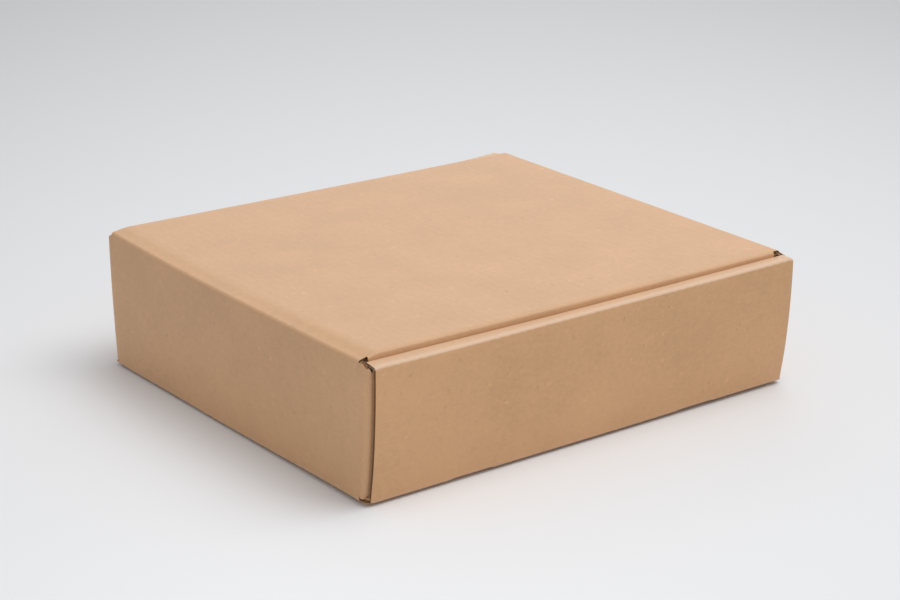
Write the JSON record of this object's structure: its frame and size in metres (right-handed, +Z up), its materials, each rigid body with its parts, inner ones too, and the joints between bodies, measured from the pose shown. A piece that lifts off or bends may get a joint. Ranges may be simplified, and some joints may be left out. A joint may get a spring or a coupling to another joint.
{
  "type": "corrugated wine mailer box",
  "caption": "Flat brown corrugated mailer for wine bottles: rolled double side walls, hinged lid with dust flaps and a tuck flap.",
  "frame": {"origin": "on the floor under the middle of the closed box", "axes": "+Z up; +X from the hinge wall to the tuck wall; the rolled double walls stand at -Y and +Y"},
  "size_m": [0.328, 0.304, 0.09],
  "materials": {
    "kraft_board": "uncoated brown kraft liner, matt"
  },
  "bodies": {
    "tray": {"tray": "kraft_board"},
    "lid": {"lid": "kraft_board"}
  },
  "joints": [
    {"name": "lid_hinge", "type": "hinge", "parent": "tray", "child": "lid", "pos_m": [-0.164, 0, 0.09], "axis": [0, -1, 0], "range_deg": [0, 180]}
  ]
}
